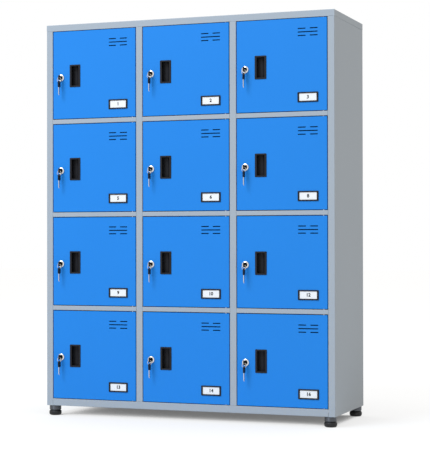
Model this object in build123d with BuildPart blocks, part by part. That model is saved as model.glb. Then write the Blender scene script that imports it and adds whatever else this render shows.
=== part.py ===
from build123d import *

import os

# Compartment locker: a folded steel cabinet on four levelling feet, with twelve
# inset doors in three columns and four rows, each with its own cam lock.
# Millimetres. X runs to the right as seen from the front, the front looks along -Y
# and Z is up. The origin is on the floor, at the middle of the overall box.

# Cabinet
cabinet_width = 900.0
cabinet_depth = 310.0
body_height = 1145.0
foot_height = 30.0
columns = 3
rows = 4
sheet = 1.0
bend_radius = 1.5
seam = 0.2
weld_flange = 15.0
post_width = 20.0
post_depth = 18.0
top_rail = 19.0
mid_rail = 13.5
bottom_rail = 21.0
base_return = 50.0

# Feet
foot_inset = 19.0
foot_diameter = 37.0
foot_rounding = 6.5
sleeve_diameter = 35.0
sleeve_height = 13.5
foot_gap = 0.5
stud_diameter = 10.0
stud_above_nut = 2.0
nut_across_flats = 17.0
nut_height = 8.0
running_clearance = 0.08

# Doors, with places measured from the left and top edges of the opening
door_gap = 2.0
door_depth = 18.0
door_lip = 10.0
hinge_inset = 12.0
hinge_setback = 6.0
hinge_pin_diameter = 4.0
hinge_pin_reach = 2.5
hinge_head_diameter = 7.0
hinge_head_height = 1.5
rivet_clearance = 0.05

# Vents
vent_x = 215.0
vent_z = 41.0
vent_pitch = 10.1
vent_length = 59.0
vent_height = 3.0
vent_bridge = 12.0

# Handle cup
handle_x = 74.5
handle_z = 136.5
handle_width = 35.0
handle_height = 67.0
handle_corner = 2.0
handle_rim = 1.5
handle_rounding = 0.8
handle_mouth_width = 23.0
handle_mouth_height = 58.0
handle_undercut = 2.5
handle_wall = 1.5
handle_depth = 13.0
cutout_clearance = 0.3

# Label frame
label_x = 215.5
label_z = 225.75
label_width = 61.0
label_height = 28.5
label_corner = 1.5
label_thickness = 2.0
label_rounding = 0.8
label_window_width = 51.0
label_window_height = 21.0
card_margin = 1.2
card_pocket = 0.8

# Cam lock
lock_x = 28.0
lock_z = 141.0
bezel_diameter = 21.0
bezel_height = 4.0
bezel_rounding = 2.0
lock_body_diameter = 16.0
lock_body_length = 19.5
lock_nut_across_flats = 20.0
lock_nut_height = 3.0
plug_diameter = 13.0
plug_recess = 0.6
plug_tail = 7.0
cam_reach = 7.0
cam_width = 13.0
cam_thickness = 2.0
cam_clearance = 0.1
cam_screw_diameter = 8.0
cam_screw_height = 1.5

# Keys and the ring that joins them
key_thickness = 3.0
key_head_width = 14.0
key_head_height = 18.5
key_in_lock_height = 14.0
key_in_lock_width = 13.0
key_head_corner = 3.0
key_neck = 1.2
key_blade_thickness = 1.8
key_blade_width = 7.5
key_blade_length = 23.5
key_cuts = [0.9, 1.9, 0.6, 1.5, 2.2, 1.0]
key_cut_flat = 0.5
key_slot_depth = 17.0
key_slot_clearance = 0.1
key_hole_diameter = 4.4
key_hole_edge = 3.9
ring_radius = 6.3
ring_wire = 1.2
ring_play = 0.3

# Worked out from the sizes above
opening_width = (cabinet_width - (columns + 1) * post_width) / columns
opening_height = (body_height - top_rail - bottom_rail - (rows - 1) * mid_rail) / rows
body_top = foot_height + body_height
left_x = -cabinet_width / 2
door_width = opening_width - 2 * door_gap
door_height = opening_height - 2 * door_gap
plug_front = bezel_height - plug_recess
key_hole_out = plug_front + key_neck + key_in_lock_width - key_hole_edge
key_reach = key_hole_out + key_head_width / 2
front_y = -(cabinet_depth - key_reach) / 2
back_y = front_y + cabinet_depth
back_panel_y = back_y - 2 * sheet - seam
inner_back_y = back_panel_y - seam
shelf_back_y = inner_back_y - sheet - seam
post_back_y = front_y + post_depth
post_top = body_top - top_rail - seam
post_bottom = foot_height + bottom_rail + seam
inner_width = cabinet_width - 2 * (sheet + seam)
hinge_hole = hinge_pin_diameter / 2 + running_clearance
stud_hole = stud_diameter / 2 + running_clearance
cam_y = max(door_depth, post_depth) + cam_thickness + cutout_clearance


def column_x(column):
    """Middle of a column's openings."""
    return left_x + post_width + opening_width / 2 + column * (opening_width + post_width)


def row_z(row):
    """Middle of a row's openings, counted from the top."""
    return body_top - top_rail - opening_height / 2 - row * (opening_height + mid_rail)


def divider_x(number):
    """Middle of the post between two columns."""
    return column_x(number) + (opening_width + post_width) / 2


def hinge_x(column):
    """Axis of a column's doors, near their right edge."""
    return column_x(column) + door_width / 2 - hinge_inset


def export(part, name):
    """Label one finished piece and write it under its own name."""
    part.label = name
    export_step(part, f"parts/{name}.step")


os.makedirs("parts", exist_ok=True)
hinge_places = [(hinge_x(column), front_y + hinge_setback) for column in range(columns)]
foot_places = [
    (x, y)
    for x in (left_x + foot_inset, -left_x - foot_inset)
    for y in (front_y + foot_inset, back_y - foot_inset)
]

# Top lid: a cap whose skirts are turned in under it, the front one is the top rail
lid_middle_y = (front_y + back_y) / 2
with BuildPart() as top_lid:
    with BuildSketch(Plane.XY.offset(body_top - top_rail)):
        with Locations((0, lid_middle_y)):
            Rectangle(cabinet_width, cabinet_depth)
    extrude(amount=top_rail)
    fillet(top_lid.faces().sort_by(Axis.Z)[-1].edges(), radius=bend_radius)
    with BuildSketch(Plane.XY.offset(body_top - top_rail + sheet)):
        with Locations((0, lid_middle_y)):
            Rectangle(cabinet_width - 2 * sheet, cabinet_depth - 2 * sheet)
    extrude(amount=top_rail - 2 * sheet, mode=Mode.SUBTRACT)
    lid_mouth_depth = cabinet_depth - post_depth - weld_flange
    with BuildSketch(Plane.XY.offset(body_top - top_rail)):
        with Locations((0, post_back_y + lid_mouth_depth / 2)):
            Rectangle(cabinet_width - 2 * weld_flange, lid_mouth_depth)
        with Locations(hinge_places):
            Circle(hinge_hole)
    extrude(amount=sheet, mode=Mode.SUBTRACT)
export(top_lid.part, "top_lid")

# Side panel: the front fold is the outer post, the rear fold carries the back panel
with BuildPart() as side_panel:
    with BuildSketch(Plane.XY.offset(foot_height)):
        with BuildLine():
            FilletPolyline(
                (left_x + post_width, post_back_y),
                (left_x + post_width, front_y),
                (left_x, front_y),
                (left_x, back_y),
                (left_x + weld_flange, back_y),
                radius=bend_radius,
            )
            offset(amount=sheet, side=Side.RIGHT)
        make_face()
    extrude(amount=post_top - foot_height)
    # the inner fold of the post ends above the base pan, which passes behind its face
    with BuildSketch(Plane.XY.offset(foot_height)):
        with Locations((left_x + sheet, front_y + sheet)):
            Rectangle(post_width, post_depth, align=Align.MIN)
    extrude(amount=post_bottom - foot_height, mode=Mode.SUBTRACT)
    # weld flange under the lid
    with BuildSketch(Plane.XY.offset(post_top - sheet)):
        with Locations((left_x + sheet, post_back_y + seam)):
            Rectangle(weld_flange - sheet, inner_back_y - post_back_y - seam, align=Align.MIN)
    extrude(amount=sheet)
    # weld flange at the bottom, between the folds of the base pan
    with BuildSketch(Plane.XY.offset(foot_height)):
        with Locations((left_x + sheet, front_y + base_return + seam)):
            Rectangle(
                weld_flange - sheet,
                inner_back_y - front_y - 2 * (base_return + seam),
                align=Align.MIN,
            )
    extrude(amount=sheet)
export(side_panel.part, "side_panel_left")

with BuildPart() as side_panel_right:
    mirror(side_panel.part, about=Plane.YZ)
export(side_panel_right.part, "side_panel_right")

# Back panel: one flat sheet inside the rear folds of the side panels
with BuildPart() as back_panel:
    with BuildSketch(Plane.XZ.offset(-back_panel_y)):
        with Locations((0, foot_height + sheet + seam)):
            Rectangle(
                inner_width,
                post_top - foot_height - sheet - seam,
                align=(Align.CENTER, Align.MIN),
            )
    extrude(amount=-sheet)
export(back_panel.part, "back_panel")

# Base pan: floor of the lowest row, bottom rail and the folds that take the feet
with BuildPart() as base_pan:
    with BuildSketch(Plane.YZ.offset(-inner_width / 2)):
        with BuildLine():
            FilletPolyline(
                (inner_back_y - base_return, foot_height),
                (inner_back_y, foot_height),
                (inner_back_y, foot_height + bottom_rail),
                (front_y, foot_height + bottom_rail),
                (front_y, foot_height),
                (front_y + base_return, foot_height),
                radius=bend_radius,
            )
            offset(amount=sheet, side=Side.LEFT)
        make_face()
    extrude(amount=inner_width)
    # front corners, cut away behind the faces of the outer posts
    with BuildSketch(Plane.XY.offset(foot_height)):
        for side in (-1, 1):
            with Locations((side * (cabinet_width / 2 - post_width / 2), front_y)):
                Rectangle(
                    post_width + 2 * seam,
                    2 * bend_radius,
                )
    extrude(amount=bottom_rail, mode=Mode.SUBTRACT)
    with BuildSketch(Plane.XY.offset(foot_height + bottom_rail - sheet)):
        with Locations(hinge_places):
            Circle(hinge_hole)
    extrude(amount=sheet, mode=Mode.SUBTRACT)
    with BuildSketch(Plane.XY.offset(foot_height)):
        with Locations(foot_places):
            Circle(stud_hole)
    extrude(amount=sheet, mode=Mode.SUBTRACT)
export(base_pan.part, "base_pan")

# Dividers: one sheet each, folded into a closed box post at its front edge
dividers = []
for number in range(columns - 1):
    middle = divider_x(number)
    with BuildPart() as divider:
        with BuildSketch(Plane.XY.offset(post_bottom)):
            with BuildLine():
                FilletPolyline(
                    (middle + weld_flange, inner_back_y),
                    (middle - sheet / 2, inner_back_y),
                    (middle - sheet / 2, post_back_y),
                    radius=bend_radius,
                )
                offset(amount=sheet, side=Side.LEFT)
            make_face()
            with Locations((middle, front_y + post_depth / 2)):
                RectangleRounded(post_width, post_depth, bend_radius)
                RectangleRounded(
                    post_width - 2 * sheet,
                    post_depth - 2 * sheet,
                    bend_radius - sheet / 2,
                    mode=Mode.SUBTRACT,
                )
        extrude(amount=post_top - post_bottom)
        # the sheet goes on up inside the lid, so that the top row is closed off too
        lid_tab_y = post_back_y + seam + bend_radius
        with BuildSketch(Plane.XY.offset(post_top - sheet)):
            with Locations((middle, lid_tab_y)):
                Rectangle(
                    sheet,
                    back_y - weld_flange - seam - lid_tab_y,
                    align=(Align.CENTER, Align.MIN),
                )
        extrude(amount=body_top - post_top - seam)
    dividers.extend(divider.part.solids())
export(Compound(dividers), "dividers")

# Shelves: floor of one compartment, with a front fold that is the rail between doors
shelves = []
for row in range(rows - 1):
    floor_z = row_z(row) - opening_height / 2
    for column in range(columns):
        middle = column_x(column)
        at_left = sheet if column == 0 else (post_width + sheet) / 2
        at_right = sheet if column == columns - 1 else (post_width + sheet) / 2
        shelf_left = middle - opening_width / 2 - post_width + at_left + seam
        shelf_right = middle + opening_width / 2 + post_width - at_right - seam
        with BuildPart() as shelf:
            with BuildSketch(Plane.YZ.offset(shelf_left)):
                with BuildLine():
                    FilletPolyline(
                        (post_back_y, floor_z - mid_rail),
                        (front_y, floor_z - mid_rail),
                        (front_y, floor_z),
                        (shelf_back_y, floor_z),
                        (shelf_back_y, floor_z - weld_flange),
                        radius=bend_radius,
                    )
                    offset(amount=sheet, side=Side.RIGHT)
                make_face()
            extrude(amount=shelf_right - shelf_left)
            # front corners, cut away round the posts
            with BuildSketch(Plane.XY.offset(floor_z - mid_rail)):
                for side in (-1, 1):
                    with Locations((middle + side * (opening_width + post_width) / 2, front_y)):
                        Rectangle(
                            post_width + 2 * seam,
                            2 * (post_depth + seam),
                        )
            extrude(amount=mid_rail, mode=Mode.SUBTRACT)
            with BuildSketch(Plane.XY.offset(floor_z - mid_rail)):
                with Locations(hinge_places[column]):
                    Circle(hinge_hole)
            extrude(amount=mid_rail, mode=Mode.SUBTRACT)
        shelves.extend(shelf.part.solids())
export(Compound(shelves), "shelves")

# Foot sleeves, each with the nut that its stud turns in
foot_sleeves = []
for place in foot_places:
    with BuildPart() as sleeve:
        with BuildSketch(Plane.XY.offset(foot_height - sleeve_height)):
            with Locations(place):
                Circle(sleeve_diameter / 2)
                Circle(stud_hole, mode=Mode.SUBTRACT)
        extrude(amount=sleeve_height)
    with BuildPart() as foot_nut:
        with BuildSketch(Plane.XY.offset(foot_height + sheet)):
            with Locations(place):
                RegularPolygon(nut_across_flats / 2, 6, major_radius=False)
                Circle(stud_hole, mode=Mode.SUBTRACT)
        extrude(amount=nut_height)
    foot_sleeves.extend([sleeve.part.solid(), foot_nut.part.solid()])
export(Compound(foot_sleeves), "foot_sleeves")

# Levelling feet: a broad pad with a stud that screws up into the base pan
pad_height = foot_height - sleeve_height - foot_gap
stud_top = foot_height + sheet + nut_height + stud_above_nut
foot_names = ["foot_front_left", "foot_rear_left", "foot_front_right", "foot_rear_right"]
for name, place in zip(foot_names, foot_places):
    with BuildPart() as foot:
        with BuildSketch():
            with Locations(place):
                Circle(foot_diameter / 2)
        extrude(amount=pad_height)
        fillet(foot.edges().filter_by(GeomType.CIRCLE), radius=foot_rounding)
        with BuildSketch(Plane.XY.offset(pad_height)):
            with Locations(place):
                Circle(stud_diameter / 2)
        extrude(amount=stud_top - pad_height)
    export(foot.part, name)

# Door pan, about the middle of its opening on the front plane
half_width = door_width / 2
half_height = door_height / 2
lock_place = (lock_x - opening_width / 2, opening_height / 2 - lock_z)
handle_place = (handle_x - opening_width / 2, opening_height / 2 - handle_z)
label_place = (label_x - opening_width / 2, opening_height / 2 - label_z)
vent_place = (vent_x - opening_width / 2, opening_height / 2 - vent_z)
short_vent = (vent_length - vent_bridge) / 2
cup_width = handle_mouth_width + 2 * (handle_undercut + handle_wall)
cup_height = handle_mouth_height + 2 * handle_wall
with BuildPart() as door_panel:
    with BuildSketch(Plane.XY.offset(-half_height)):
        with BuildLine():
            FilletPolyline(
                (door_lip - half_width, door_depth),
                (-half_width, door_depth),
                (-half_width, 0),
                (half_width, 0),
                (half_width, door_depth),
                (half_width - door_lip, door_depth),
                radius=bend_radius,
            )
            offset(amount=sheet, side=Side.LEFT)
        make_face()
    extrude(amount=door_height)
    # top and bottom flanges, which take the hinge pins
    for flange_z in (-half_height, half_height - sheet):
        with BuildSketch(Plane.XY.offset(flange_z)):
            with Locations((0, sheet)):
                Rectangle(
                    door_width - 2 * sheet,
                    door_depth - sheet,
                    align=(Align.CENTER, Align.MIN),
                )
            with Locations((half_width - hinge_inset, hinge_setback)):
                Circle(hinge_pin_diameter / 2 + rivet_clearance, mode=Mode.SUBTRACT)
        extrude(amount=sheet)
    with BuildSketch(Plane.XZ):
        with Locations(lock_place):
            Circle(lock_body_diameter / 2 + rivet_clearance)
        with Locations(handle_place):
            Rectangle(cup_width + 2 * cutout_clearance, cup_height + 2 * cutout_clearance)
        with Locations(vent_place):
            SlotOverall(vent_length, vent_height)
            for side in (-1, 1):
                for level in (-vent_pitch, vent_pitch):
                    with Locations((side * (short_vent + vent_bridge) / 2, level)):
                        SlotOverall(short_vent, vent_height)
    extrude(amount=-sheet, mode=Mode.SUBTRACT)

# Handle cup: undercut on the left for the fingers, a round ramp on the right
with BuildPart() as handle_cup:
    with BuildSketch(Plane.XZ.offset(handle_rim)):
        RectangleRounded(handle_width, handle_height, handle_corner)
    extrude(amount=-handle_rim)
    fillet(handle_cup.faces().sort_by(Axis.Y)[0].edges(), radius=handle_rounding)
    with BuildSketch(Plane.XY):
        with BuildLine():
            Polyline(
                (handle_mouth_width / 2 + handle_wall, 0),
                (-cup_width / 2, 0),
                (-cup_width / 2, handle_depth + handle_wall),
                (handle_mouth_width / 2 - handle_depth, handle_depth + handle_wall),
            )
            RadiusArc(
                (handle_mouth_width / 2 - handle_depth, handle_depth + handle_wall),
                (handle_mouth_width / 2 + handle_wall, 0),
                handle_depth + handle_wall,
            )
        make_face()
    extrude(amount=cup_height / 2, both=True)
    with BuildSketch(Plane.XY):
        with BuildLine():
            Polyline(
                (handle_mouth_width / 2, 0),
                (handle_mouth_width / 2, -handle_rim),
                (-handle_mouth_width / 2, -handle_rim),
                (-handle_mouth_width / 2, handle_wall / 2),
                (-cup_width / 2 + handle_wall, handle_wall / 2),
                (-cup_width / 2 + handle_wall, handle_depth),
                (handle_mouth_width / 2 - handle_depth, handle_depth),
            )
            RadiusArc(
                (handle_mouth_width / 2 - handle_depth, handle_depth),
                (handle_mouth_width / 2, 0),
                handle_depth,
            )
        make_face()
    extrude(amount=handle_mouth_height / 2, both=True, mode=Mode.SUBTRACT)

# Label frame: a thin frame with a pocket behind its window for the card
card_width = label_window_width + 2 * card_margin
card_height = label_window_height + 2 * card_margin
with BuildPart() as label_frame:
    with BuildSketch(Plane.XZ.offset(label_thickness)):
        RectangleRounded(label_width, label_height, label_corner)
    extrude(amount=-label_thickness)
    fillet(label_frame.faces().sort_by(Axis.Y)[0].edges(), radius=label_rounding)
    with BuildSketch(Plane.XZ.offset(label_thickness)):
        Rectangle(label_window_width, label_window_height)
    extrude(amount=-label_thickness, mode=Mode.SUBTRACT)
    with BuildSketch(Plane.XZ.offset(card_pocket)):
        Rectangle(card_width, card_height)
    extrude(amount=-card_pocket, mode=Mode.SUBTRACT)

# Lock housing with its bezel in front of the door, and the nut behind the door
with BuildPart() as lock_housing:
    with BuildSketch(Plane.XZ.offset(bezel_height)):
        Circle(bezel_diameter / 2)
    extrude(amount=-bezel_height)
    fillet(lock_housing.faces().sort_by(Axis.Y)[0].edges(), radius=bezel_rounding)
    with BuildSketch(Plane.XZ):
        Circle(lock_body_diameter / 2)
    extrude(amount=-lock_body_length)
    with BuildSketch(Plane.XZ.offset(bezel_height)):
        Circle(plug_diameter / 2 + running_clearance)
    extrude(amount=-bezel_height - lock_body_length, mode=Mode.SUBTRACT)

with BuildPart() as lock_nut:
    with BuildSketch(Plane.XZ.offset(-sheet)):
        RegularPolygon(lock_nut_across_flats / 2, 6, major_radius=False)
        Circle(lock_body_diameter / 2 + rivet_clearance, mode=Mode.SUBTRACT)
    extrude(amount=-lock_nut_height)

# Hinge pins, riveted into the flanges and standing into the rails
pin_top = half_height + door_gap + sheet + hinge_pin_reach
with BuildPart() as hinge_pin:
    with BuildSketch(Plane.XY.offset(half_height - sheet)):
        Circle(hinge_head_diameter / 2)
    extrude(amount=-hinge_head_height)
    with BuildSketch(Plane.XY.offset(half_height - sheet)):
        Circle(hinge_pin_diameter / 2)
    extrude(amount=pin_top - half_height + sheet)
pin_place = Location((half_width - hinge_inset, hinge_setback, 0))
upper_pin = hinge_pin.part.moved(pin_place)
lower_pin = mirror(hinge_pin.part, about=Plane.XY).moved(pin_place)

lock_spot = Location((lock_place[0], 0, lock_place[1]))
door_fittings = Compound(
    [
        *handle_cup.part.moved(Location((handle_place[0], 0, handle_place[1]))).solids(),
        *label_frame.part.moved(Location((label_place[0], 0, label_place[1]))).solids(),
        *lock_housing.part.moved(lock_spot).solids(),
        *lock_nut.part.moved(lock_spot).solids(),
        *upper_pin.solids(),
        *lower_pin.solids(),
    ]
)

# Plug, about the lock's own axis: it turns in the housing and carries the cam
with BuildPart() as plug:
    with BuildSketch(Plane.XZ.offset(plug_front)):
        Circle(plug_diameter / 2)
        Rectangle(
            key_blade_thickness + 2 * key_slot_clearance,
            key_blade_width + 2 * key_slot_clearance,
            mode=Mode.SUBTRACT,
        )
    extrude(amount=-plug_front - key_slot_depth)
    with BuildSketch(Plane.XZ.offset(-key_slot_depth)):
        Circle(plug_diameter / 2)
    extrude(amount=key_slot_depth - cam_y)
    with BuildSketch(Plane.XZ.offset(-cam_y)):
        Rectangle(plug_tail, plug_tail)
    extrude(amount=-cam_thickness)

# Cam: a flat tongue, shown turned up, which locks behind the post on the left
cam_length = lock_x + cam_reach
with BuildPart() as cam:
    with BuildSketch(Plane.XZ.offset(-cam_y)):
        Circle(plug_diameter / 2 + cam_thickness)
        with Locations((0, cam_length / 2 - cam_width / 4)):
            SlotOverall(cam_length + cam_width / 2, cam_width, rotation=90)
        Rectangle(plug_tail + 2 * cam_clearance, plug_tail + 2 * cam_clearance, mode=Mode.SUBTRACT)
    extrude(amount=-cam_thickness)

with BuildPart() as cam_screw:
    with BuildSketch(Plane.XZ.offset(-cam_y - cam_thickness)):
        Circle(cam_screw_diameter / 2)
    extrude(amount=-cam_screw_height)

# Key in the lock: its head stands upright in front of the plug
key_middle = plug_front + key_neck + key_in_lock_width / 2
with BuildPart() as key_in_lock:
    with BuildSketch(Plane.YZ.offset(-key_thickness / 2)):
        with Locations((-key_middle, 0)):
            RectangleRounded(key_in_lock_width, key_in_lock_height, key_head_corner)
        with Locations((-key_hole_out, 0)):
            Circle(key_hole_diameter / 2, mode=Mode.SUBTRACT)
    extrude(amount=key_thickness)
    with BuildSketch(Plane.XZ.offset(plug_front + key_neck)):
        Rectangle(key_blade_thickness, key_blade_width)
    extrude(amount=-plug_front - key_neck - key_slot_depth + key_slot_clearance)

lock = Compound(
    [
        *plug.part.solids(),
        *cam.part.solids(),
        *cam_screw.part.solids(),
        *key_in_lock.part.solids(),
    ]
)

# Split ring through the heads of both keys, and the spare key that hangs from it
ring_corner = (ring_wire**2 + ring_wire**2) ** 0.5 / 2
ring_drop = key_hole_diameter / 2 - ring_corner - ring_play
spare_hole_z = -2 * ring_drop - 2 * ring_radius
spare_top = spare_hole_z + key_hole_edge
with BuildPart() as split_ring:
    with BuildSketch(Plane.XZ.offset(key_hole_out + ring_wire / 2)):
        with Locations((0, -ring_drop - ring_radius)):
            Circle(ring_radius + ring_wire / 2)
            Circle(ring_radius - ring_wire / 2, mode=Mode.SUBTRACT)
    extrude(amount=-ring_wire)

with BuildPart() as spare_key:
    with BuildSketch(Plane.YZ.offset(-key_thickness / 2)):
        with Locations((-key_hole_out, spare_top - key_head_height / 2)):
            RectangleRounded(key_head_width, key_head_height, key_head_corner)
        with Locations((-key_hole_out, spare_hole_z)):
            Circle(key_hole_diameter / 2, mode=Mode.SUBTRACT)
    extrude(amount=key_thickness)
    blade_top = spare_top - key_head_height
    blade_tip = blade_top - key_blade_length
    blade_front = -key_hole_out - key_blade_width / 2
    blade_rear = -key_hole_out + key_blade_width / 2
    # each cut is flat for a part of its pitch and slopes for the rest
    cut_slope = 1 - key_cut_flat
    cut_pitch = (key_blade_length - key_blade_width / 2) / (len(key_cuts) + cut_slope)
    blade_outline = [(blade_front, blade_top), (blade_rear, blade_top)]
    for number, depth in enumerate(key_cuts):
        cut_top = blade_top - (number + cut_slope) * cut_pitch
        blade_outline.append((blade_rear - depth, cut_top))
        blade_outline.append((blade_rear - depth, cut_top - key_cut_flat * cut_pitch))
    blade_outline.append((-key_hole_out, blade_tip))
    blade_outline.append((blade_front, blade_tip + key_blade_width / 2))
    with BuildSketch(Plane.YZ.offset(-key_blade_thickness / 2)):
        with BuildLine():
            Polyline(*blade_outline, close=True)
        make_face()
    extrude(amount=key_blade_thickness)

key_on_ring = Compound([*split_ring.part.solids(), *spare_key.part.solids()])

# The twelve doors, each with its own fittings, lock and spare key
for row in range(rows):
    for column in range(columns):
        place = f"r{row + 1}c{column + 1}"
        opening = Location((column_x(column), front_y, row_z(row)))
        lock_axis = opening * lock_spot
        export(door_panel.part.moved(opening), f"door_panel_{place}")
        export(door_fittings.moved(opening), f"door_fittings_{place}")
        export(lock.moved(lock_axis), f"lock_{place}")
        export(key_on_ring.moved(lock_axis), f"spare_key_{place}")
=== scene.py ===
import math

import bmesh
import bpy
from mathutils import Matrix, Vector


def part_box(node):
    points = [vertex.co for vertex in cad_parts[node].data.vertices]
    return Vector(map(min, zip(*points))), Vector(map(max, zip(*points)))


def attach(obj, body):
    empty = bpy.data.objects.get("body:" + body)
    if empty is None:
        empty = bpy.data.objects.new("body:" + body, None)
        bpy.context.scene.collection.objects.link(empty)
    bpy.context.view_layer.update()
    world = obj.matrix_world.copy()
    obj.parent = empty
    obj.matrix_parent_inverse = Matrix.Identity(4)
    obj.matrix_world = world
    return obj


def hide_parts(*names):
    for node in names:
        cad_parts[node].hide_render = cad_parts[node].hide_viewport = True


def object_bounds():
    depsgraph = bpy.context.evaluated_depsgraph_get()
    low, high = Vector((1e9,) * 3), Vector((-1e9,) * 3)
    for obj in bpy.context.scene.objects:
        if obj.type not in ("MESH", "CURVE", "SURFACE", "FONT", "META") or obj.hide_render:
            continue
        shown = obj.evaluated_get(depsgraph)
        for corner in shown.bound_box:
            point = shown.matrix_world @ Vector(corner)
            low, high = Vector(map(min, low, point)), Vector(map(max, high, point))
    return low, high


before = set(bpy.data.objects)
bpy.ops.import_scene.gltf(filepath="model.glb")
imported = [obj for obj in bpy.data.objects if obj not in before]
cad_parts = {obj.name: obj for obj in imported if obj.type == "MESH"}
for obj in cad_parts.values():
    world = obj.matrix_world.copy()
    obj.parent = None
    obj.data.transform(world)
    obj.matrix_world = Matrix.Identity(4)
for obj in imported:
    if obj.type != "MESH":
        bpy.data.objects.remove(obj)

cad_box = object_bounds()


# Cabinet: lid, two sides, back, base pan, dividers and shelves, folded from 1 mm
# sheet steel and spot welded. All of it has one satin light grey powder coat,
# with the faint orange peel and the slight cloudiness that such a coat has.
cabinet_nodes = [
    "top_lid",
    "side_panel_left",
    "side_panel_right",
    "back_panel",
    "base_pan",
    "dividers",
    "shelves",
]
cabinet_grey = (0.394, 0.438, 0.483)
sheet = 0.001
post_width = 0.020
post_depth = 0.018
joint_rounding = 0.0009
back_inset = 0.0014
weld_depth = 0.0003
tolerance = 1e-5
sharp_angle = math.radians(40)
smooth_angle = math.radians(35)
flat_angle = math.radians(0.5)


def start_material(name):
    """A new material, with its nodes, its links and its shader."""
    material = bpy.data.materials.new(name)
    material.use_nodes = True
    tree = material.node_tree
    return material, tree.nodes, tree.links, tree.nodes["Principled BSDF"]


def noise(nodes, links, place, scale, detail=2.0):
    """How strong a noise of one scale is at a place."""
    texture = nodes.new("ShaderNodeTexNoise")
    texture.inputs["Scale"].default_value = scale
    texture.inputs["Detail"].default_value = detail
    links.new(place, texture.inputs["Vector"])
    return texture.outputs["Fac"]


def vary_colour(nodes, links, amount, dark, light):
    """The colour goes from dark to light with an amount."""
    tone = nodes.new("ShaderNodeMix")
    tone.data_type = "RGBA"
    tone.inputs["A"].default_value = (*dark, 1)
    tone.inputs["B"].default_value = (*light, 1)
    links.new(amount, tone.inputs["Factor"])
    links.new(tone.outputs["Result"], nodes["Principled BSDF"].inputs["Base Color"])


def vary_roughness(nodes, links, amount, low, high):
    """The roughness goes from low to high with an amount."""
    gloss = nodes.new("ShaderNodeMapRange")
    gloss.inputs["To Min"].default_value = low
    gloss.inputs["To Max"].default_value = high
    links.new(amount, gloss.inputs["Value"])
    links.new(gloss.outputs["Result"], nodes["Principled BSDF"].inputs["Roughness"])


def emboss(nodes, links, height, strength, distance):
    """The surface rises and falls by a small distance."""
    bump = nodes.new("ShaderNodeBump")
    bump.inputs["Strength"].default_value = strength
    bump.inputs["Distance"].default_value = distance
    links.new(height, bump.inputs["Height"])
    links.new(bump.outputs["Normal"], nodes["Principled BSDF"].inputs["Normal"])


def powder_coat(name, colour, roughness, shine):
    """A sprayed and baked coat: fine orange peel over slow changes of tone and gloss."""
    material, nodes, links, shader = start_material(name)
    shader.inputs["Specular IOR Level"].default_value = shine
    place = nodes.new("ShaderNodeTexCoord").outputs["Object"]
    cloud = noise(nodes, links, place, scale=4.0, detail=3.0)
    dark = [channel * 0.975 for channel in colour]
    light = [min(1, channel * 1.025) for channel in colour]
    vary_colour(nodes, links, cloud, dark, light)
    vary_roughness(nodes, links, cloud, roughness - 0.05, roughness + 0.05)
    peel = noise(nodes, links, place, scale=650.0)
    emboss(nodes, links, peel, strength=0.25, distance=0.00004)
    return material


def paint_node(node, material):
    """Give a piece of the frame its finish."""
    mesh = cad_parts[node].data
    mesh.materials.clear()
    mesh.materials.append(material)


def calculate(nodes, links, operation, *values):
    """One Math node, fed by numbers and by what other nodes give."""
    step = nodes.new("ShaderNodeMath")
    step.operation = operation
    for socket, value in zip(step.inputs, values):
        if isinstance(value, (int, float)):
            socket.default_value = value
        else:
            links.new(value, socket)
    return step.outputs["Value"]


def add_spot_welds(material, rear_y, row_z, row_pitch, column_x, column_pitch, spacing, radius):
    """Shallow round marks in rows and columns on the rear, where folds are welded to it."""
    nodes = material.node_tree.nodes
    links = material.node_tree.links
    shader = nodes["Principled BSDF"]
    place = nodes.new("ShaderNodeTexCoord")
    at = nodes.new("ShaderNodeSeparateXYZ")
    links.new(place.outputs["Object"], at.inputs["Vector"])
    nearest = []
    for start_x, pitch_x, start_z, pitch_z in (
        (0.0, spacing, row_z, row_pitch),
        (column_x, column_pitch, 0.0, spacing),
    ):
        off = nodes.new("ShaderNodeCombineXYZ")
        for axis, start, pitch in (("X", start_x, pitch_x), ("Z", start_z, pitch_z)):
            moved = calculate(nodes, links, "SUBTRACT", at.outputs[axis], start)
            wrapped = calculate(nodes, links, "WRAP", moved, pitch / 2, -pitch / 2)
            links.new(wrapped, off.inputs[axis])
        length = nodes.new("ShaderNodeVectorMath")
        length.operation = "LENGTH"
        links.new(off.outputs["Vector"], length.inputs[0])
        nearest.append(length.outputs["Value"])
    dent = nodes.new("ShaderNodeMapRange")
    dent.interpolation_type = "SMOOTHSTEP"
    dent.inputs["From Min"].default_value = radius * 0.8
    dent.inputs["From Max"].default_value = radius * 1.1
    dent.inputs["To Min"].default_value = 1.0
    dent.inputs["To Max"].default_value = 0.0
    links.new(calculate(nodes, links, "MINIMUM", *nearest), dent.inputs["Value"])
    behind = calculate(nodes, links, "GREATER_THAN", at.outputs["Y"], rear_y)
    depth = calculate(nodes, links, "MULTIPLY", behind, dent.outputs["Result"])
    bump = nodes.new("ShaderNodeBump")
    bump.invert = True
    bump.inputs["Strength"].default_value = 1.0
    bump.inputs["Distance"].default_value = weld_depth
    links.new(depth, bump.inputs["Height"])
    links.new(shader.inputs["Normal"].links[0].from_socket, bump.inputs["Normal"])
    links.new(bump.outputs["Normal"], shader.inputs["Normal"])


def begin():
    """Nothing is selected before a new piece is added."""
    if bpy.context.object and bpy.context.object.mode == "EDIT":
        bpy.ops.object.mode_set(mode="OBJECT")
    bpy.ops.object.select_all(action="DESELECT")


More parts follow.
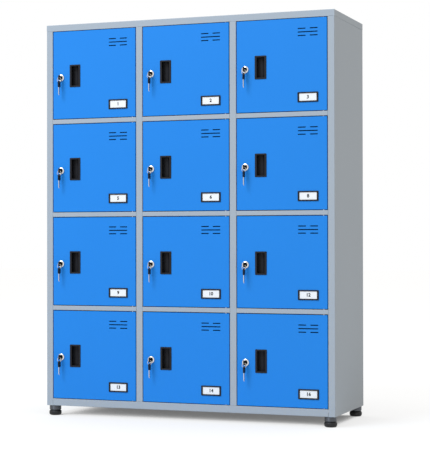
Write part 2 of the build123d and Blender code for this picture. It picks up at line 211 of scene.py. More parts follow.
def choose(piece, kind, test):
    """In edit mode, select the vertices, edges or faces of a piece that pass a test."""
    bpy.ops.object.mode_set(mode="EDIT")
    bpy.ops.mesh.select_mode(type=kind)
    bpy.ops.mesh.select_all(action="DESELECT")
    shape = bmesh.from_edit_mesh(piece.data)
    for part in {"VERT": shape.verts, "EDGE": shape.edges, "FACE": shape.faces}[kind]:
        if test(part):
            part.select_set(True)
    shape.select_flush_mode()
    bmesh.update_edit_mesh(piece.data)


def middle(part):
    """Middle of an edge or a face."""
    return sum((vertex.co for vertex in part.verts), Vector()) / len(part.verts)


def apply_modifiers(piece, modifiers):
    """Give a piece its modifiers and apply them in turn."""
    bpy.ops.object.mode_set(mode="OBJECT")
    for kind, settings in modifiers:
        modifier = piece.modifiers.new(kind.title(), kind)
        for key, value in settings.items():
            setattr(modifier, key, value)
        bpy.ops.object.modifier_apply(modifier=modifier.name)


def finish_piece(piece, material, modifiers):
    """Apply a piece's modifiers, smooth it while its flats stay flat, and coat it."""
    apply_modifiers(piece, modifiers)
    bpy.ops.object.shade_smooth_by_angle(angle=smooth_angle)
    flats = piece.modifiers.new("Flats", "WEIGHTED_NORMAL")
    flats.weight = 100
    flats.keep_sharp = True
    bpy.ops.object.modifier_apply(modifier=flats.name)
    piece.data.materials.clear()
    piece.data.materials.append(material)


def ease_joint(node, level, outlines):
    """A copy of a frame piece whose outer cut edges at one level are rounded."""
    begin()
    piece = bpy.data.objects.new(f"{node}_eased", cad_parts[node].data.copy())
    bpy.context.collection.objects.link(piece)
    piece.select_set(True)
    bpy.context.view_layer.objects.active = piece
    bpy.ops.mesh.customdata_custom_splitnormals_clear()
    choose(piece, "VERT", lambda v: True)
    bpy.ops.mesh.remove_doubles(threshold=1e-6)
    bpy.ops.mesh.dissolve_limited(angle_limit=flat_angle)

    def looks_out(face):
        """The face is upright and the way out of one of the outlines lies in front of it."""
        here = middle(face)
        there = here + face.normal * sheet
        return abs(face.normal.z) < 0.1 and any(
            low.x - tolerance < here.x < high.x + tolerance
            and low.y - tolerance < here.y < high.y + tolerance
            and not (low.x < there.x < high.x and low.y < there.y < high.y)
            for low, high in outlines
        )

    choose(
        piece,
        "EDGE",
        lambda e: all(abs(v.co.z - level) < tolerance for v in e.verts)
        and any(looks_out(face) for face in e.link_faces),
    )
    bpy.ops.mesh.bevel(offset=joint_rounding, segments=3)
    finish_piece(piece, cabinet_coat, [])
    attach(piece, "cabinet")
    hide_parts(node)


cabinet_coat = powder_coat("cabinet_grey_coat", cabinet_grey, 0.5, 0.3)
lid_low, lid_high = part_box("top_lid")
add_spot_welds(
    cabinet_coat,
    rear_y=lid_high.y - back_inset,
    row_z=0.0435,
    row_pitch=0.279625,
    column_x=0.1475,
    column_pitch=0.295,
    spacing=0.1,
    radius=0.0028,
)
for node in cabinet_nodes:
    paint_node(node, cabinet_coat)

# the lid and what stands under it meet in a fine groove between their rounded edges
ease_joint("top_lid", lid_low.z, [(lid_low, lid_high)])
for node in ("side_panel_left", "side_panel_right"):
    panel_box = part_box(node)
    ease_joint(node, panel_box[1].z, [panel_box])
dividers_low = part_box("dividers")[0]
post_outlines = [
    (Vector((left, dividers_low.y, 0)), Vector((left + post_width, dividers_low.y + post_depth, 0)))
    for left in (dividers_low.x, -dividers_low.x - post_width)
]
ease_joint("dividers", panel_box[1].z, post_outlines)


# Doors: twelve pans of 1 mm sheet with vents, a lock hole and a handle cut-out, in a
# bright blue powder coat. They hang on two hidden pins near their right edges.
rows = 4
columns = 3
door_blue = (0.0135, 0.235, 0.737)
door_coat = powder_coat("door_blue_coat", door_blue, 0.5, 0.22)
places = [f"r{row + 1}c{column + 1}" for row in range(rows) for column in range(columns)]
for place in places:
    paint_node(f"door_panel_{place}", door_coat)

first_low, first_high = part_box("door_panel_r1c1")
door_left = first_low.x
door_top = first_high.z
door_front = first_low.y
door_shift = {place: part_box(f"door_panel_{place}")[0] - first_low for place in places}


# Handle cups: a black moulded cup clipped into each door from the front, with a
# rounded rim, an undercut on the left for the fingertips and a round ramp on the right.
handle_x = door_left + 0.0725
handle_z = door_top - 0.1345
rim_width = 0.035
rim_height = 0.067
rim_corner = 0.002
rim_out = 0.0015
mouth_width = 0.023
mouth_height = 0.058
lip_depth = 0.0008
undercut = 0.0025
cup_depth = 0.013
cup_wall = 0.001
ramp_width = 0.012
ramp_steps = 9
rim_rounding = 0.0006
rim_side = (rim_height - mouth_height) / 2
mouth_left = handle_x - mouth_width / 2
cup_front = door_front - rim_out
lip_back = door_front + lip_depth


def moulded_black(name, colour, roughness, grain, shine):
    """Moulded plastic: an even black with the fine spark grain of its tool."""
    material, nodes, links, shader = start_material(name)
    shader.inputs["Specular IOR Level"].default_value = shine
    place = nodes.new("ShaderNodeTexCoord").outputs["Object"]
    flow = noise(nodes, links, place, scale=60.0)
    dark = [channel * 0.8 for channel in colour]
    light = [channel * 1.2 for channel in colour]
    vary_colour(nodes, links, flow, dark, light)
    vary_roughness(nodes, links, flow, roughness - 0.04, roughness + 0.06)
    spark = noise(nodes, links, place, scale=2600.0)
    emboss(nodes, links, spark, strength=grain, distance=0.00003)
    return material


def settle(name):
    """Name the piece just added and put its place and size into its mesh."""
    piece = bpy.context.object
    piece.name = name
    bpy.ops.object.transform_apply(location=True, rotation=True, scale=True)
    return piece


def push(x=0.0, y=0.0, z=0.0):
    """Extrude what is selected and move it."""
    bpy.ops.mesh.extrude_region_move(TRANSFORM_OT_translate={"value": (x, y, z)})


def at_corner(edge, x, z, width, height):
    """The edge lies at one of the corners of an upright rectangle about a point."""
    aside = abs(middle(edge).x - x) - width / 2
    above = abs(middle(edge).z - z) - height / 2
    return abs(aside) < tolerance and abs(above) < tolerance


def on_every_door(piece, name, body, node):
    """Copy a piece modelled on the first door to all twelve, each with its own mesh."""
    for place, shift in door_shift.items():
        twin = piece.copy()
        twin.data = piece.data.copy()
        twin.data.transform(Matrix.Translation(shift))
        twin.name = f"{name}_{place}"
        bpy.context.collection.objects.link(twin)
        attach(twin, f"{body}_{place}")
        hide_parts(f"{node}_{place}")
    bpy.data.objects.remove(piece)


black_cup = moulded_black("black_cup_plastic", (0.011, 0.011, 0.014), 0.45, 0.3, 0.22)

begin()
bpy.ops.mesh.primitive_plane_add(
    size=1, location=(handle_x, cup_front, handle_z), rotation=(math.pi / 2, 0, 0)
)
bpy.context.object.scale = (rim_width, rim_height, 1)
cup = settle("handle_cup")
choose(cup, "FACE", lambda face: True)
bpy.ops.mesh.inset(thickness=rim_side)
bpy.ops.transform.resize(
    value=(mouth_width / (rim_width - 2 * rim_side), 1, 1),
    center_override=(handle_x, cup_front, handle_z),
)
# the lip, then the cup in steps whose right side is the ramp
push(y=lip_back - cup_front)
depth_now = lip_back
right_now = mouth_left + mouth_width
for step in range(1, ramp_steps + 1):
    turn = math.pi / 2 * step / ramp_steps
    depth_next = lip_back + (cup_depth - lip_depth) * math.sin(turn)
    right_next = mouth_left + mouth_width - ramp_width * (1 - math.cos(turn))
    push(y=depth_next - depth_now)
    bpy.ops.transform.resize(
        value=((right_next - mouth_left) / (right_now - mouth_left), 1, 1),
        center_override=(mouth_left, depth_next, handle_z),
    )
    depth_now = depth_next
    right_now = right_next
# behind the lip the left side stands further out
choose(
    cup,
    "FACE",
    lambda f: middle(f).y > lip_back and abs(middle(f).x - mouth_left) < tolerance,
)
push(x=-undercut)
# each flat side is one face
choose(cup, "FACE", lambda f: middle(f).y > cup_front + tolerance)
bpy.ops.mesh.dissolve_limited(angle_limit=flat_angle)
# the rim's edge comes back to the door, round its four corners
choose(cup, "EDGE", lambda edge: edge.is_boundary)
push(y=rim_out)
choose(cup, "EDGE", lambda e: at_corner(e, handle_x, handle_z, rim_width, rim_height))
bpy.ops.mesh.bevel(offset=rim_corner, segments=4)
apply_modifiers(
    cup,
    [
        (
            "SOLIDIFY",
            {
                "thickness": cup_wall,
                "offset": -1.0,
                "use_even_offset": True,
                "use_quality_normals": True,
            },
        )
    ],
)
# the edges of the rim and of the lip are rounded
choose(
    cup,
    "EDGE",
    lambda e: e.calc_face_angle(0) > sharp_angle
    and (
        all(abs(v.co.y - cup_front) < tolerance for v in e.verts)
        or all(abs(v.co.y - lip_back) + abs(v.co.x - mouth_left) < tolerance for v in e.verts)
    ),
)
bpy.ops.mesh.bevel(offset=rim_rounding, segments=3)
finish_piece(cup, black_cup, [])
on_every_door(cup, "handle_cup", "door", "door_fittings")


# Label frames: a thin frame of black plastic, glued to each door, which holds a white card
# with the plain number of the compartment.
label_x = door_left + 0.2135
label_z = door_top - 0.22375
label_width = 0.061
label_height = 0.0285
window_width = 0.051
window_height = 0.021
label_out = 0.002
label_corner = 0.0015
label_rounding = 0.0006
card_out = 0.0005
card_thickness = 0.0003
card_margin = 0.0009
card_corner = 0.001
digit_height = 0.0094
digit_share = 0.7
digit_weight = 0.0005
ink_thickness = 0.00008
card_numbers = [1, 2, 3, 5, 6, 8, 9, 10, 12, 13, 14, 16]

begin()
bpy.ops.mesh.primitive_plane_add(
    size=1, location=(label_x, door_front - label_out, label_z), rotation=(math.pi / 2, 0, 0)
)
bpy.context.object.scale = (label_width, label_height, 1)
label = settle("label_frame")
choose(label, "FACE", lambda face: True)
label_side = (label_height - window_height) / 2
bpy.ops.mesh.inset(thickness=label_side)
bpy.ops.transform.resize(
    value=(window_width / (label_width - 2 * label_side), 1, 1),
    center_override=(label_x, door_front, label_z),
)
bpy.ops.mesh.delete(type="FACE")
apply_modifiers(label, [("SOLIDIFY", {"thickness": label_out, "offset": -1.0})])
choose(label, "EDGE", lambda e: at_corner(e, label_x, label_z, label_width, label_height))
bpy.ops.mesh.bevel(offset=label_corner, segments=4)
choose(
    label,
    "EDGE",
    lambda e: e.calc_face_angle(0) > sharp_angle
    and all(abs(v.co.y - door_front + label_out) < tolerance for v in e.verts),
)
bpy.ops.mesh.bevel(offset=label_rounding, segments=3)
finish_piece(label, black_cup, [])
on_every_door(label, "label_frame", "door", "door_fittings")


def card_stock(name, colour):
    """Uncoated card with faint fibres."""
    material, nodes, links, shader = start_material(name)
    shader.inputs["Roughness"].default_value = 0.8
    shader.inputs["Specular IOR Level"].default_value = 0.2
    place = nodes.new("ShaderNodeTexCoord").outputs["Object"]
    fibre = noise(nodes, links, place, scale=900.0, detail=4.0)
    vary_colour(nodes, links, fibre, [channel * 0.96 for channel in colour], colour)
    emboss(nodes, links, fibre, strength=0.2, distance=0.00003)
    return material


white_card = card_stock("white_card", (0.93, 0.93, 0.93))
black_ink = card_stock("black_ink", (0.012, 0.012, 0.012))
card_front = door_front - card_out

begin()
bpy.ops.mesh.primitive_cube_add(
    size=1, location=(label_x, card_front + card_thickness / 2, label_z)
)
bpy.context.object.scale = (
    window_width + 2 * card_margin,
    card_thickness,
    window_height + 2 * card_margin,
)
card = settle("card")
choose(card, "EDGE", lambda e: abs(e.verts[0].co.y - e.verts[1].co.y) > card_thickness / 2)
bpy.ops.mesh.bevel(offset=card_corner, segments=3)
finish_piece(card, white_card, [])
on_every_door(card, "card", "door", "door_fittings")

for place, number in zip(places, card_numbers):
    begin()
    bpy.ops.object.text_add(rotation=(math.pi / 2, 0, 0))
    text = bpy.context.object
    text.data.body = str(number)
    text.data.align_x = "CENTER"
    text.data.align_y = "CENTER"
    text.data.size = digit_height / digit_share
    text.data.offset = digit_weight
    text.data.resolution_u = 3
    text.data.extrude = ink_thickness / 2
    bpy.ops.object.convert(target="MESH")
    digits = bpy.context.object
    digits.location = Vector((label_x, card_front - ink_thickness, label_z)) + door_shift[place]
    settle(f"card_number_{place}")
    finish_piece(digits, black_ink, [])
    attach(digits, f"door_{place}")


# Lock housings: a threaded zinc barrel through the door with a bright round bezel in
# front of it, drawn up by a hexagon nut behind the door sheet.
lock_x = door_left + 0.026
lock_z = door_top - 0.139
bezel_radius = 0.0105
bezel_out = 0.004
bezel_cone = 0.0015
bezel_rounding = 0.0012
plug_radius = 0.0065
plug_gap = 0.0003
barrel_radius = 0.008
barrel_length = 0.0195
barrel_floor = 0.002
nut_flats = 0.020
nut_height = 0.003
nut_play = 0.00005
small_rounding = 0.0003


def plated(name, colour, roughness, stretch):
    """Plated metal with very fine polishing marks that run one way."""
    material, nodes, links, shader = start_material(name)
    shader.inputs["Metallic"].default_value = 1.0
    place = nodes.new("ShaderNodeTexCoord").outputs["Object"]
    turn = nodes.new("ShaderNodeMapping")
    turn.inputs["Scale"].default_value = stretch
    links.new(place, turn.inputs["Vector"])
    marks = noise(nodes, links, turn.outputs["Vector"], scale=1500.0, detail=3.0)
    vary_colour(nodes, links, marks, [channel * 0.9 for channel in colour], colour)
    vary_roughness(nodes, links, marks, roughness * 0.7, roughness * 1.4)
    emboss(nodes, links, marks, strength=0.1, distance=0.00001)
    return material


def soft_edges(width):
    """A small rounding of all the sharp edges."""
    return (
        "BEVEL",
        {
            "width": width,
            "segments": 2,
            "limit_method": "ANGLE",
            "angle_limit": sharp_angle,
        },
    )


bright_plate = plated("bright_plate", (0.75, 0.73, 0.70), 0.2, (1, 1, 1))

rim_front = door_front - bezel_out + bezel_cone
begin()
bpy.ops.mesh.primitive_cylinder_add(
    vertices=48,
    radius=bezel_radius,
    depth=door_front - rim_front,
    location=(lock_x, (door_front + rim_front) / 2, lock_z),
    rotation=(math.pi / 2, 0, 0),
)
housing = settle("lock_housing")
# the face rises as a shallow cone from the rounded rim to the plug's hole
choose(housing, "FACE", lambda f: middle(f).y < rim_front + tolerance)
bpy.ops.mesh.inset(thickness=bezel_radius - plug_radius - plug_gap)
bpy.ops.transform.translate(value=(0, -bezel_cone, 0))
choose(housing, "EDGE", lambda e: all(abs(v.co.y - rim_front) < tolerance for v in e.verts))
bpy.ops.mesh.bevel(offset=bezel_rounding, segments=4)
choose(housing, "FACE", lambda f: middle(f).y < door_front - bezel_out + tolerance)
push(y=bezel_out + barrel_length - barrel_floor)
choose(
    housing,
    "FACE",
    lambda f: middle(f).y > door_front - tolerance and len(f.verts) > 4 and f.normal.y > 0.9,
)
bpy.ops.mesh.inset(thickness=bezel_radius - barrel_radius)
push(y=barrel_length)
finish_piece(housing, bright_plate, [soft_edges(small_rounding)])
on_every_door(housing, "lock_housing", "door", "door_fittings")

begin()
bpy.ops.mesh.primitive_cylinder_add(
    vertices=6,
    radius=nut_flats / 2 / math.cos(math.pi / 6),
    depth=nut_height,
    location=(lock_x, door_front + sheet + nut_height / 2, lock_z),
    rotation=(math.pi / 2, 0, 0),
)
nut = settle("lock_nut")
begin()
bpy.ops.mesh.primitive_cylinder_add(
    vertices=48,
    radius=barrel_radius + nut_play,
    depth=nut_height * 3,
    location=(lock_x, door_front + sheet, lock_z),
    rotation=(math.pi / 2, 0, 0),
)
drill = settle("nut_drill")
begin()
bpy.context.view_layer.objects.active = nut
nut.select_set(True)
finish_piece(
    nut,
    bright_plate,
    [("BOOLEAN", {"object": drill, "operation": "DIFFERENCE"}), soft_edges(small_rounding)],
)
bpy.data.objects.remove(drill)
on_every_door(nut, "lock_nut", "door", "door_fittings")


# Hinge pins: two short steel pins riveted into each door's top and bottom flanges,
# which turn in the holes of the rails.
pin_x = first_high.x - 0.012
pin_y = door_front + 0.006
pin_radius = 0.002
pin_head_radius = 0.0035
pin_head = 0.0015
pin_out = 0.0055
for end, edge_z, way in (("upper", first_high.z, 1), ("lower", first_low.z, -1)):
    begin()
    bpy.ops.mesh.primitive_cylinder_add(
        vertices=24,
        radius=pin_head_radius,
        depth=pin_head,
        location=(pin_x, pin_y, edge_z - way * (sheet + pin_head / 2)),
    )
    pin = settle(f"hinge_pin_{end}")
    choose(pin, "FACE", lambda f: f.normal.z * way > 0.9)
    bpy.ops.mesh.inset(thickness=pin_head_radius - pin_radius)
    push(z=way * (sheet + pin_out))
    finish_piece(pin, bright_plate, [soft_edges(small_rounding)])
    on_every_door(pin, f"hinge_pin_{end}", "door", "door_fittings")


# Lock plugs: the part of each lock that turns, a zinc cylinder with a keyway in its face,
# coloured near black as painted shade and painted dark reflection of its recessed face.
# It carries a flat steel cam behind the door, held by a cross-head screw.
plug_front = door_front - 0.0034
cam_front = door_front + 0.0203
cam_thickness = 0.002
cam_width = 0.013
cam_up = 0.035
cam_hub = 0.0085
tail_width = 0.007
screw_radius = 0.004
screw_height = 0.0015
keyway_width = 0.002
keyway_height = 0.0077
keyway_depth = 0.0204
plug_rounding = 0.0005
tail_play = 0.0001
cam_tip_flat = 0.0001
cam_rounding = 0.0002
screw_rounding = 0.0007
slot_length = 0.0045
slot_width = 0.0008
slot_depth = 0.001
overshoot = 0.001


def along_y(name, radius, near, far, x, z, sides=48):
    """A cylinder whose axis runs from front to back."""
    begin()
    bpy.ops.mesh.primitive_cylinder_add(
        vertices=sides,
        radius=radius,
        depth=far - near,
        location=(x, (near + far) / 2, z),
        rotation=(math.pi / 2, 0, 0),
    )
    return settle(name)


def block(name, low, high):
    """A box between two corners."""
    begin()
    low = Vector(low)
    high = Vector(high)
    bpy.ops.mesh.primitive_cube_add(size=1, location=(low + high) / 2)
    bpy.context.object.scale = high - low
    return settle(name)


def combine(piece, other, operation):
    """Cut a helper shape out of a piece, or weld it on."""
    begin()
    bpy.context.view_layer.objects.active = piece
    piece.select_set(True)
    modifier = piece.modifiers.new(operation.title(), "BOOLEAN")
    modifier.object = other
    modifier.operation = operation
    bpy.ops.object.modifier_apply(modifier=modifier.name)
    bpy.data.objects.remove(other)


plug = along_y("lock_plug", plug_radius, plug_front, cam_front, lock_x, lock_z)
choose(plug, "EDGE", lambda e: all(v.co.y < plug_front + tolerance for v in e.verts))
bpy.ops.mesh.bevel(offset=plug_rounding, segments=2)
bpy.ops.object.mode_set(mode="OBJECT")
keyway = block(
    "keyway",
    (lock_x - keyway_width / 2, plug_front - overshoot, lock_z - keyway_height / 2),
    (lock_x + keyway_width / 2, plug_front + keyway_depth, lock_z + keyway_height / 2),
)
combine(plug, keyway, "DIFFERENCE")
tail = block(
    "plug_tail",
    (lock_x - tail_width / 2, cam_front - overshoot, lock_z - tail_width / 2),
    (lock_x + tail_width / 2, cam_front + cam_thickness, lock_z + tail_width / 2),
)
combine(plug, tail, "UNION")
# painted shade: the zinc plug is coloured near black for the dark of its recessed face
plug_painted_shade = moulded_black("plug_painted_shade", (0.012, 0.012, 0.012), 0.3, 0.1, 0.4)
finish_piece(plug, plug_painted_shade, [])
on_every_door(plug, "lock_plug", "lock", "lock")

zinc_plate = plated("zinc_plate", (0.62, 0.62, 0.60), 0.28, (1, 1, 0.2))
cam = block(
    "cam",
    (lock_x - cam_width / 2, cam_front, lock_z - cam_width / 2),
    (lock_x + cam_width / 2, cam_front + cam_thickness, lock_z + cam_up),
)
choose(cam, "EDGE", lambda e: abs(e.verts[0].co.y - e.verts[1].co.y) > cam_thickness / 2)
bpy.ops.mesh.bevel(offset=cam_width / 2 - cam_tip_flat, segments=8)
bpy.ops.object.mode_set(mode="OBJECT")
hub = along_y("cam_hub", cam_hub, cam_front, cam_front + cam_thickness, lock_x, lock_z)
combine(cam, hub, "UNION")
screw_front = cam_front + cam_thickness
hole_half = tail_width / 2 + tail_play
square_hole = block(
    "cam_hole",
    (lock_x - hole_half, cam_front - overshoot, lock_z - hole_half),
    (lock_x + hole_half, screw_front + overshoot, lock_z + hole_half),
)
combine(cam, square_hole, "DIFFERENCE")
finish_piece(cam, zinc_plate, [soft_edges(cam_rounding)])
on_every_door(cam, "cam", "lock", "lock")

screw_back = screw_front + screw_height
screw = along_y("cam_screw", screw_radius, screw_front, screw_back, lock_x, lock_z, 32)
choose(screw, "EDGE", lambda e: all(v.co.y > screw_back - tolerance for v in e.verts))
bpy.ops.mesh.bevel(offset=screw_rounding, segments=3)
bpy.ops.object.mode_set(mode="OBJECT")
for width, height in ((slot_length, slot_width), (slot_width, slot_length)):
    slot = block(
        "screw_slot",
        (lock_x - width / 2, screw_back - slot_depth, lock_z - height / 2),
        (lock_x + width / 2, screw_back + overshoot, lock_z + height / 2),
    )
    combine(screw, slot, "DIFFERENCE")
finish_piece(screw, zinc_plate, [])
on_every_door(screw, "cam_screw", "lock", "lock")


# Keys: one stands in each lock and its spare hangs from it on a split ring of two turns
# of flat wire. Both have a moulded black head with a hole on a cut steel blade.
head_thickness = 0.003
head_height = 0.014
head_corner = 0.003
head_rounding = 0.0004
head_hole = 0.0044
panel_margin = 0.0011
panel_depth = 0.0003
lock_head_length = 0.013
lock_head_gap = 0.0012
spare_head_length = 0.0185
blade_thickness = 0.0018
blade_width = 0.0075
blade_length = 0.0235
blade_root = 0.0005
blade_neck = 0.002
blade_in_lock = 0.0169
blade_rounding = 0.0002
tip_length = 0.004
tip_half = 0.0004
groove_depth = 0.0004
groove_front = 0.0018
groove_back = 0.0006
groove_tip = 0.0045
groove_top = 0.001
hole_y = door_front - 0.0137
hole_edge = 0.0039
ring_radius = 0.0063
ring_wire = 0.0012
ring_flat = 0.00039
ring_turn = 0.0004
ring_drop = 0.00105
ring_steps = 96
spare_hole_z = lock_z - 2 * (ring_radius + ring_drop)
key_cuts = [0.0009, 0.0019, 0.0006, 0.0015, 0.0022, 0.0010]

key_plastic = moulded_black("black_key_plastic", (0.008, 0.008, 0.009), 0.35, 0.15, 0.25)
key_steel = plated("key_steel", (0.72, 0.70, 0.66), 0.25, (1, 1, 0.15))


def key_head(name, low, high, hole_z):
    """A rounded head with a shallow panel in both sides and a hole for the ring."""
    head = block(name, low, high)
    choose(head, "EDGE", lambda e: abs(e.verts[0].co.x - e.verts[1].co.x) > head_thickness / 2)
    bpy.ops.mesh.bevel(offset=head_corner, segments=5)
    for way in (-1, 1):
        choose(head, "FACE", lambda f: f.normal.x * way > 0.9)
        bpy.ops.mesh.inset(thickness=panel_margin)
        push(x=-way * panel_depth)
    bpy.ops.object.mode_set(mode="OBJECT")
    begin()
    bpy.ops.mesh.primitive_cylinder_add(
        vertices=32,
        radius=head_hole / 2,
        depth=head_thickness * 3,
        location=(lock_x, hole_y, hole_z),
        rotation=(0, math.pi / 2, 0),
    )
    combine(head, settle("head_hole"), "DIFFERENCE")
    finish_piece(head, key_plastic, [soft_edges(head_rounding)])
    return head


key_inner = plug_front - lock_head_gap
head_in_lock = key_head(
    "key_head",
    (lock_x - head_thickness / 2, key_inner - lock_head_length, lock_z - head_height / 2),
    (lock_x + head_thickness / 2, key_inner, lock_z + head_height / 2),
    lock_z,
)
on_every_door(head_in_lock, "key_head", "lock", "lock")

blade = block(
    "key_blade",
    (lock_x - blade_thickness / 2, key_inner - blade_root, lock_z - blade_width / 2),
    (lock_x + blade_thickness / 2, door_front + blade_in_lock, lock_z + blade_width / 2),
)
finish_piece(blade, key_steel, [soft_edges(blade_rounding)])
on_every_door(blade, "key_blade", "lock", "lock")

spare_top = spare_hole_z + hole_edge
spare_bottom = spare_top - spare_head_length
head_of_spare = key_head(
    "spare_key_head",
    (lock_x - head_thickness / 2, hole_y - head_height / 2, spare_bottom),
    (lock_x + head_thickness / 2, hole_y + head_height / 2, spare_top),
    spare_hole_z,
)
on_every_door(head_of_spare, "spare_key_head", "spare_key", "spare_key")

# the blade grows down from the head, and its rear edge is cut to the key's code
spare_blade = block(
    "spare_key_blade",
    (lock_x - blade_thickness / 2, hole_y - blade_width / 2, spare_bottom - blade_neck),
    (lock_x + blade_thickness / 2, hole_y + blade_width / 2, spare_bottom + blade_root),
)
blade_tip = spare_bottom - blade_length
blade_end = spare_bottom - blade_neck
rear_edge = hole_y + blade_width / 2
cut_step = (blade_end - blade_tip - tip_length) / len(key_cuts) / 2
for cut in key_cuts:
    for part in ("slope", "flat"):
        choose(
            spare_blade,
            "FACE",
            lambda f: f.normal.z < -0.5 and middle(f).z < blade_end + tolerance,
        )
        push(z=-cut_step)
        blade_end -= cut_step
        if part == "slope":
            choose(
                spare_blade, "VERT", lambda v: v.co.z < blade_end + tolerance and v.co.y > hole_y
            )
            target = hole_y + blade_width / 2 - cut
            bpy.ops.transform.translate(value=(0, target - rear_edge, 0))
            rear_edge = target
choose(spare_blade, "FACE", lambda f: f.normal.z < -0.5 and middle(f).z < blade_end + tolerance)
push(z=blade_tip - blade_end)
choose(spare_blade, "VERT", lambda v: v.co.z < blade_tip + tolerance and v.co.y > hole_y)
bpy.ops.transform.translate(value=(0, hole_y + tip_half - rear_edge, 0))
choose(spare_blade, "VERT", lambda v: v.co.z < blade_tip + tolerance and v.co.y < hole_y)
bpy.ops.transform.translate(value=(0, blade_width / 2 - tip_half, 0))
bpy.ops.object.mode_set(mode="OBJECT")
for way in (-1, 1):
    face_x = lock_x + way * blade_thickness / 2
    groove = block(
        "blade_groove",
        (face_x - groove_depth, hole_y - groove_front, blade_tip + groove_tip),
        (face_x + groove_depth, hole_y - groove_back, spare_bottom - groove_top),
    )
    combine(spare_blade, groove, "DIFFERENCE")
finish_piece(spare_blade, key_steel, [])
on_every_door(spare_blade, "spare_key_blade", "spare_key", "spare_key")

# two turns of flat wire, wound about the world's Y axis and then moved to the lock
begin()
bpy.ops.mesh.primitive_circle_add(
    vertices=12, radius=ring_wire / 2, location=(ring_radius, 0, 0)
)
bpy.context.object.scale = (1, ring_flat / ring_wire, 1)
ring = settle("split_ring")
coil = ring.modifiers.new("Screw", "SCREW")
coil.axis = "Y"
coil.angle = 4 * math.pi
coil.screw_offset = 2 * ring_turn
coil.iterations = 1
coil.steps = ring_steps
coil.render_steps = ring_steps
bpy.ops.object.modifier_apply(modifier=coil.name)
choose(ring, "EDGE", lambda e: e.is_boundary)
bpy.ops.mesh.edge_face_add()
bpy.ops.mesh.select_all(action="SELECT")
bpy.ops.mesh.normals_make_consistent(inside=False)
bpy.ops.transform.translate(
    value=(lock_x, hole_y - ring_turn, lock_z - ring_drop - ring_radius)
)
finish_piece(ring, key_steel, [])
on_every_door(ring, "split_ring", "spare_key", "spare_key")


# Levelling feet: a black rubber pad moulded round the head of a zinc-plated stud, which
# screws up through a glossy collar into a hexagon nut inside the base pan.
foot_names = ["foot_front_left", "foot_rear_left", "foot_front_right", "foot_rear_right"]
pad_radius = 0.0185
pad_rounding = 0.0065
collar_radius = 0.0175
pad_height = 0.016
collar_bottom = 0.0165
collar_top = 0.030
collar_rounding = 0.0008
stud_radius = 0.005
stud_top = 0.041
stud_rounding = 0.0006
stud_clearance = 0.00008
foot_nut_flats = 0.017
foot_nut_bottom = 0.031
foot_nut_top = 0.039
hex_radius = foot_nut_flats / 2 / math.cos(math.pi / 6)

foot_rubber = moulded_black("foot_rubber", (0.012, 0.012, 0.013), 0.5, 0.5, 0.35)
collar_turned = plated("collar_turned", (0.115, 0.122, 0.135), 0.42, (0.1, 0.1, 1))
# the rings left by turning spread what it mirrors up and down
collar_nodes = collar_turned.node_tree.nodes
collar_shader = collar_nodes["Principled BSDF"]
collar_shader.inputs["Anisotropic"].default_value = 0.9
across = collar_nodes.new("ShaderNodeCombineXYZ")
across.inputs["Z"].default_value = 1.0
collar_turned.node_tree.links.new(across.outputs["Vector"], collar_shader.inputs["Tangent"])


def upright(name, radius, bottom, top, place, sides=64):
    """A cylinder that stands upright."""
    begin()
    bpy.ops.mesh.primitive_cylinder_add(
        vertices=sides,
        radius=radius,
        depth=top - bottom,
        location=(place.x, place.y, (bottom + top) / 2),
    )
    return settle(name)


for name in foot_names:
    low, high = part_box(name)
    place = (low + high) / 2
    pad = upright(f"{name}_pad", pad_radius, 0, pad_height, place)
    choose(pad, "EDGE", lambda e: abs(e.verts[0].co.z - e.verts[1].co.z) < tolerance)
    bpy.ops.mesh.bevel(offset=pad_rounding, segments=8)
    finish_piece(pad, foot_rubber, [])
    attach(pad, name)
    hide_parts(name)

    stud = upright(f"{name}_stud", stud_radius, pad_height - overshoot, stud_top, place, 32)
    finish_piece(stud, zinc_plate, [soft_edges(stud_rounding)])
    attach(stud, name)
    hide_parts(name)

    collar = upright(f"{name}_collar", collar_radius, collar_bottom, collar_top, place)
    choose(collar, "EDGE", lambda e: abs(e.verts[0].co.z - e.verts[1].co.z) < tolerance)
    bpy.ops.mesh.bevel(offset=collar_rounding, segments=3)
    bpy.ops.object.mode_set(mode="OBJECT")
    hole = upright("collar_hole", stud_radius + stud_clearance, 0, stud_top, place, 32)
    combine(collar, hole, "DIFFERENCE")
    finish_piece(collar, collar_turned, [])
    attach(collar, "cabinet")
    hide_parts("foot_sleeves")

    foot_nut = upright(f"{name}_nut", hex_radius, foot_nut_bottom, foot_nut_top, place, 6)
    hole = upright("nut_hole", stud_radius + stud_clearance, 0, stud_top, place, 32)
    combine(foot_nut, hole, "DIFFERENCE")
    finish_piece(foot_nut, zinc_plate, [soft_edges(small_rounding)])
    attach(foot_nut, "cabinet")
    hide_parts("foot_sleeves")


# Floor and backdrop: a plain pale studio floor that glows white to the camera and in
# reflections and runs out to white behind the locker. Its soft shadow is partly real, from
# the lamp on its faint matt paint, and mostly painted shade: the glow is darkened where the
# locker stands close by, most of all on the side towards the lamp.
floor_size = 40.0
floor_drop = 0.0002
floor_white = 0.85
floor_seen_white = 0.2
floor_lift = 0.88
shade_reach = 0.6
sky_colour = (1.0, 0.96, 0.892)
sky_strength = 0.594
light_place = (-2.0, -3.8, 5.2)


def background_rays(nodes, links):
    """1 for rays that show the background: straight, mirrored or through something."""
    path = nodes.new("ShaderNodeLightPath")
    shown = path.outputs["Is Camera Ray"]
    for ray in ("Is Glossy Ray", "Is Transmission Ray"):
        shown = calculate(nodes, links, "MAXIMUM", shown, path.outputs[ray])
    return shown


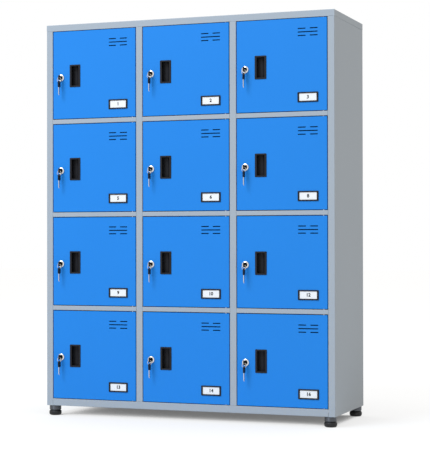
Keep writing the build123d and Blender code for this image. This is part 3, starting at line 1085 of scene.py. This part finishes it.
begin()
bpy.ops.mesh.primitive_plane_add(size=floor_size, location=(0, 0, -floor_drop))
floor = settle("studio_floor")
floor_paint = bpy.data.materials.new("studio_floor")
floor_paint.use_nodes = True
nodes = floor_paint.node_tree.nodes
links = floor_paint.node_tree.links
nodes.remove(nodes["Principled BSDF"])
matt = nodes.new("ShaderNodeBsdfDiffuse")
seen_floor = background_rays(nodes, links)
paint_change = floor_seen_white - floor_white
paint = calculate(nodes, links, "MULTIPLY_ADD", seen_floor, paint_change, floor_white)
links.new(paint, matt.inputs["Color"])


def shade_near(nodes, links, towards, closed, clear, darkest):
    """Painted shade: 1 in the open, falling where something stands close by on the side looked
    towards.
    """
    way = nodes.new("ShaderNodeCombineXYZ")
    for axis, amount in zip("XYZ", Vector(towards).normalized()):
        way.inputs[axis].default_value = amount
    reach = nodes.new("ShaderNodeAmbientOcclusion")
    reach.samples = 32
    reach.inputs["Distance"].default_value = shade_reach
    links.new(way.outputs["Vector"], reach.inputs["Normal"])
    level = nodes.new("ShaderNodeMapRange")
    level.inputs["From Min"].default_value = closed
    level.inputs["From Max"].default_value = clear
    level.inputs["To Min"].default_value = darkest
    links.new(reach.outputs["AO"], level.inputs["Value"])
    return level.outputs["Result"]


# painted shade: the floor's glow is darkened by a contact shadow leaning towards the lamp and by a
# wider shade near the locker
lift = nodes.new("ShaderNodeEmission")
painted_contact_shadow = shade_near(nodes, links, light_place, closed=0.187, clear=0.35, darkest=0.2)
painted_wide_shade = shade_near(nodes, links, (0, 0, 1), closed=0.5, clear=1.0, darkest=0.85)
painted_floor_shade = calculate(nodes, links, "MULTIPLY", painted_contact_shadow, painted_wide_shade)
raised = calculate(nodes, links, "MULTIPLY", painted_floor_shade, floor_lift)
links.new(calculate(nodes, links, "MULTIPLY", raised, seen_floor), lift.inputs["Strength"])
both = nodes.new("ShaderNodeAddShader")
links.new(matt.outputs["BSDF"], both.inputs[0])
links.new(lift.outputs["Emission"], both.inputs[1])
links.new(both.outputs["Shader"], nodes["Material Output"].inputs["Surface"])
floor.data.materials.append(floor_paint)

world = bpy.data.worlds.new("studio")
bpy.context.scene.world = world
world.use_nodes = True
nodes = world.node_tree.nodes
links = world.node_tree.links
sky = nodes["Background"]
seen = nodes.new("ShaderNodeBackground")
choice = nodes.new("ShaderNodeMixShader")
links.new(background_rays(nodes, links), choice.inputs["Fac"])
sky.inputs["Color"].default_value = (*sky_colour, 1)
sky.inputs["Strength"].default_value = sky_strength
seen.inputs["Color"].default_value = (1, 1, 1, 1)
seen.inputs["Strength"].default_value = 1.0
links.new(sky.outputs["Background"], choice.inputs[1])
links.new(seen.outputs["Background"], choice.inputs[2])
links.new(choice.outputs["Shader"], nodes["World Output"].inputs["Surface"])


# Studio light: one large soft box, high on the left in front of the locker. It looks at the
# middle of the locker, and what its cool light does not reach is filled by the warmer world.
def soft_box(name, place, aim, size, power, colour):
    """A square area lamp that looks at a point."""
    lamp = bpy.data.lights.new(name, "AREA")
    lamp.shape = "SQUARE"
    lamp.size = size
    lamp.energy = power
    lamp.color = colour
    holder = bpy.data.objects.new(name, lamp)
    bpy.context.collection.objects.link(holder)
    holder.location = place
    holder.rotation_euler = (Vector(aim) - Vector(place)).to_track_quat("-Z", "Y").to_euler()


locker_middle = (cad_box[0] + cad_box[1]) / 2
light_colour = (0.719, 0.844, 1.0)
soft_box("key_light", light_place, locker_middle, size=2.6, power=292.0, colour=light_colour)


# Camera: the view that the photograph was taken from, worked out from the edges of the
# posts, rails, lid and side.
camera_place = Vector((1.5621, door_front - 3.9398, 0.5285))
camera_yaw = math.radians(20.469)
camera_pitch = math.radians(0.546)
camera_roll = math.radians(-0.097)
picture_width = 430
focal_pixels = 1456.2
camera = bpy.data.cameras.new("camera")
camera.sensor_fit = "HORIZONTAL"
camera.sensor_width = 36.0
camera.lens = focal_pixels / picture_width * camera.sensor_width
viewer = bpy.data.objects.new("camera", camera)
bpy.context.collection.objects.link(viewer)
viewer.matrix_world = (
    Matrix.Translation(camera_place)
    @ Matrix.Rotation(camera_yaw, 4, "Z")
    @ Matrix.Rotation(math.pi / 2 + camera_pitch, 4, "X")
    @ Matrix.Rotation(camera_roll, 4, "Z")
)
bpy.context.scene.camera = viewer
bpy.context.scene.view_settings.view_transform = "Standard"
